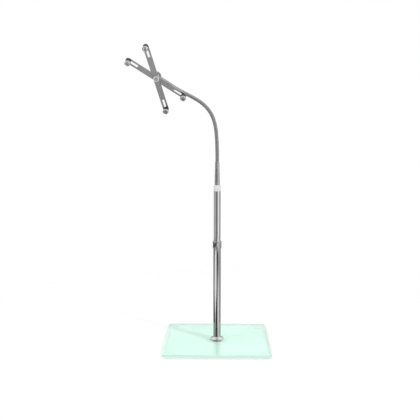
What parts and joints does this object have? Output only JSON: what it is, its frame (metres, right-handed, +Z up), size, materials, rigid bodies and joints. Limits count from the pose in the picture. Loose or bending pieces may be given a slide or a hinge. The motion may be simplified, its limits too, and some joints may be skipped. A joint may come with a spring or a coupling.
{
  "type": "adjustable tablet floor stand",
  "caption": "Free-standing floor stand with a bevelled glass base, a telescoping chrome pole, a bendable gooseneck and a tilting scissor holder whose sliding knobs grip a flat tablet.",
  "frame": {"origin": "on the floor, under the axis of the pole", "axes": "+Z up the pole, +X to the right of a viewer in front of the stand, -Y towards that viewer"},
  "size_m": [0.5112, 0.3759, 1.1047],
  "materials": {
    "glass": "polished pale green glass with a bevelled top edge",
    "clear_rubber": "soft translucent rubber",
    "gasket_rubber": "thin black sheet rubber",
    "plain_steel": "plain zinc-plated steel",
    "chrome": "bright chrome plate",
    "white_plastic": "moulded white plastic",
    "pale_plastic": "smooth near-white plastic",
    "neck_steel": "grey metal, ribbed by its spiral winding",
    "satin_metal": "satin grey metal",
    "grip_rubber": "dark grey rubber",
    "knob_metal": "polished metal"
  },
  "bodies": {
    "base": {"glass_plate": "glass", "rubber_feet": "clear_rubber", "under_gasket": "gasket_rubber", "clamp_washer": "plain_steel", "base_bolt": "plain_steel", "glass_bush": "white_plastic", "flange_gasket": "gasket_rubber", "base_flange": "chrome", "pole_plug": "plain_steel", "lower_pole": "chrome", "collet": "white_plastic"},
    "lock_collar": {"lock_collar": "chrome"},
    "pole_glide": {"pole_glide": "white_plastic"},
    "upper_pole": {"upper_pole": "chrome", "pole_spool": "white_plastic", "spool_pin": "plain_steel", "neck_adapter": "pale_plastic", "neck_set_screw": "plain_steel", "neck_ferrule": "neck_steel", "neck_root": "neck_steel"},
    "neck_link_1": {"neck_link_1": "neck_steel"},
    "neck_link_2": {"neck_link_2": "neck_steel"},
    "neck_link_3": {"neck_link_3": "neck_steel"},
    "neck_link_4": {"neck_link_4": "neck_steel"},
    "neck_link_5": {"neck_link_5": "neck_steel"},
    "neck_link_6": {"neck_link_6": "neck_steel"},
    "neck_link_7": {"neck_link_7": "neck_steel"},
    "neck_link_8": {"neck_link_8": "neck_steel"},
    "neck_link_9": {"neck_link_9": "neck_steel", "tip_ferrule": "satin_metal"},
    "ball_housing": {"ball_housing": "satin_metal", "housing_grub": "plain_steel"},
    "ball_lock_ring": {"ball_lock_ring": "satin_metal"},
    "ball_stud": {"ball_stud": "plain_steel", "pivot_washers": "white_plastic", "pivot_nut": "plain_steel"},
    "arm_rear": {"arm_rear": "satin_metal"},
    "arm_front": {"arm_front": "satin_metal"},
    "peg_left": {"peg_left": "plain_steel", "grip_left": "grip_rubber"},
    "knob_left": {"knob_left": "knob_metal"},
    "peg_right": {"peg_right": "plain_steel", "grip_right": "grip_rubber"},
    "knob_right": {"knob_right": "knob_metal"},
    "peg_top": {"peg_top": "plain_steel", "grip_top": "grip_rubber"},
    "knob_top": {"knob_top": "knob_metal"},
    "peg_bottom": {"peg_bottom": "plain_steel", "grip_bottom": "grip_rubber"},
    "knob_bottom": {"knob_bottom": "knob_metal"}
  },
  "joints": [
    {"name": "collar_twist", "type": "hinge", "parent": "base", "child": "lock_collar", "pos_m": [0, 0, 0.3858], "axis": [0, 0, 1], "range_deg": [0, 120]},
    {"name": "pole_height", "type": "slide", "parent": "base", "child": "pole_glide", "axis": [0, 0, 1], "range_m": [-0.11, 0.12]},
    {"name": "pole_swivel", "type": "hinge", "parent": "pole_glide", "child": "upper_pole", "pos_m": [0, 0, 0.1858], "axis": [0, 0, 1], "continuous": true},
    {"name": "neck_bend_1", "type": "hinge", "parent": "upper_pole", "child": "neck_link_1", "pos_m": [0, 0, 0.7118], "axis": [0, 1, 0], "range_deg": [-15, 15]},
    {"name": "neck_bend_2", "type": "hinge", "parent": "neck_link_1", "child": "neck_link_2", "pos_m": [-0.00084, 0, 0.75979], "axis": [0.9994, 0, 0.0349], "range_deg": [-15, 15]},
    {"name": "neck_bend_3", "type": "hinge", "parent": "neck_link_2", "child": "neck_link_3", "pos_m": [-0.00377, 0, 0.8077], "axis": [0, 1, 0], "range_deg": [-15, 15]},
    {"name": "neck_bend_4", "type": "hinge", "parent": "neck_link_3", "child": "neck_link_4", "pos_m": [-0.01332, 0, 0.85463], "axis": [0.9511, 0, 0.309], "range_deg": [-15, 15]},
    {"name": "neck_bend_5", "type": "hinge", "parent": "neck_link_4", "child": "neck_link_5", "pos_m": [-0.0368, 0, 0.89613], "axis": [0, 1, 0], "range_deg": [-15, 15]},
    {"name": "neck_bend_6", "type": "hinge", "parent": "neck_link_5", "child": "neck_link_6", "pos_m": [-0.07366, 0, 0.92652], "axis": [0.5, 0, 0.866], "range_deg": [-15, 15]},
    {"name": "neck_bend_7", "type": "hinge", "parent": "neck_link_6", "child": "neck_link_7", "pos_m": [-0.11604, 0, 0.94905], "axis": [0, 1, 0], "range_deg": [-15, 15]},
    {"name": "neck_bend_8", "type": "hinge", "parent": "neck_link_7", "child": "neck_link_8", "pos_m": [-0.158, 0, 0.97231], "axis": [0.5299, 0, 0.848], "range_deg": [-15, 15]},
    {"name": "neck_bend_9", "type": "hinge", "parent": "neck_link_8", "child": "neck_link_9", "pos_m": [-0.19465, -0.0179, 0.99521], "axis": [-0.5997, 0.7071, 0.3747], "range_deg": [-15, 15]},
    {"name": "holder_roll", "type": "hinge", "parent": "neck_link_9", "child": "ball_housing", "pos_m": [-0.20983, -0.10712, 1.0047], "axis": [0, -1, 0], "range_deg": [-90, 90]},
    {"name": "ring_twist", "type": "hinge", "parent": "ball_housing", "child": "ball_lock_ring", "pos_m": [-0.20983, -0.10712, 1.0047], "axis": [0, -1, 0], "range_deg": [0, 90]},
    {"name": "holder_tilt", "type": "hinge", "parent": "ball_housing", "child": "ball_stud", "pos_m": [-0.20983, -0.10712, 1.0047], "axis": [1, 0, 0], "range_deg": [-60, 12]},
    {"name": "rear_arm_turn", "type": "hinge", "parent": "ball_stud", "child": "arm_rear", "pos_m": [-0.20983, -0.12315, 0.99652], "axis": [0, -0.891, -0.454], "continuous": true},
    {"name": "front_arm_turn", "type": "hinge", "parent": "arm_rear", "child": "arm_front", "pos_m": [-0.20983, -0.12315, 0.99652], "axis": [0, -0.891, -0.454], "range_deg": [-50, 15]},
    {"name": "peg_slide_left", "type": "slide", "parent": "arm_rear", "child": "peg_left", "axis": [-0.8192, -0.2604, 0.5111], "range_m": [-0.034, 0]},
    {"name": "knob_turn_left", "type": "hinge", "parent": "peg_left", "child": "knob_left", "pos_m": [-0.30075, -0.17433, 1.0419], "axis": [0, -0.891, -0.454], "range_deg": [0, 360]},
    {"name": "peg_slide_right", "type": "slide", "parent": "arm_rear", "child": "peg_right", "axis": [0.8192, 0.2604, -0.5111], "range_m": [-0.034, 0]},
    {"name": "knob_turn_right", "type": "hinge", "parent": "peg_right", "child": "knob_right", "pos_m": [-0.1189, -0.11653, 0.92845], "axis": [0, -0.891, -0.454], "range_deg": [0, 360]},
    {"name": "peg_slide_top", "type": "slide", "parent": "arm_front", "child": "peg_top", "axis": [-0.2419, -0.4405, 0.8645], "range_m": [-0.034, 0]},
    {"name": "knob_turn_top", "type": "hinge", "parent": "peg_top", "child": "knob_top", "pos_m": [-0.23813, -0.19697, 1.08633], "axis": [0, -0.891, -0.454], "range_deg": [0, 360]},
    {"name": "peg_slide_bottom", "type": "slide", "parent": "arm_front", "child": "peg_bottom", "axis": [0.2419, 0.4405, -0.8645], "range_m": [-0.034, 0]},
    {"name": "knob_turn_bottom", "type": "hinge", "parent": "peg_bottom", "child": "knob_bottom", "pos_m": [-0.18152, -0.09389, 0.88402], "axis": [0, -0.891, -0.454], "range_deg": [0, 360]}
  ]
}
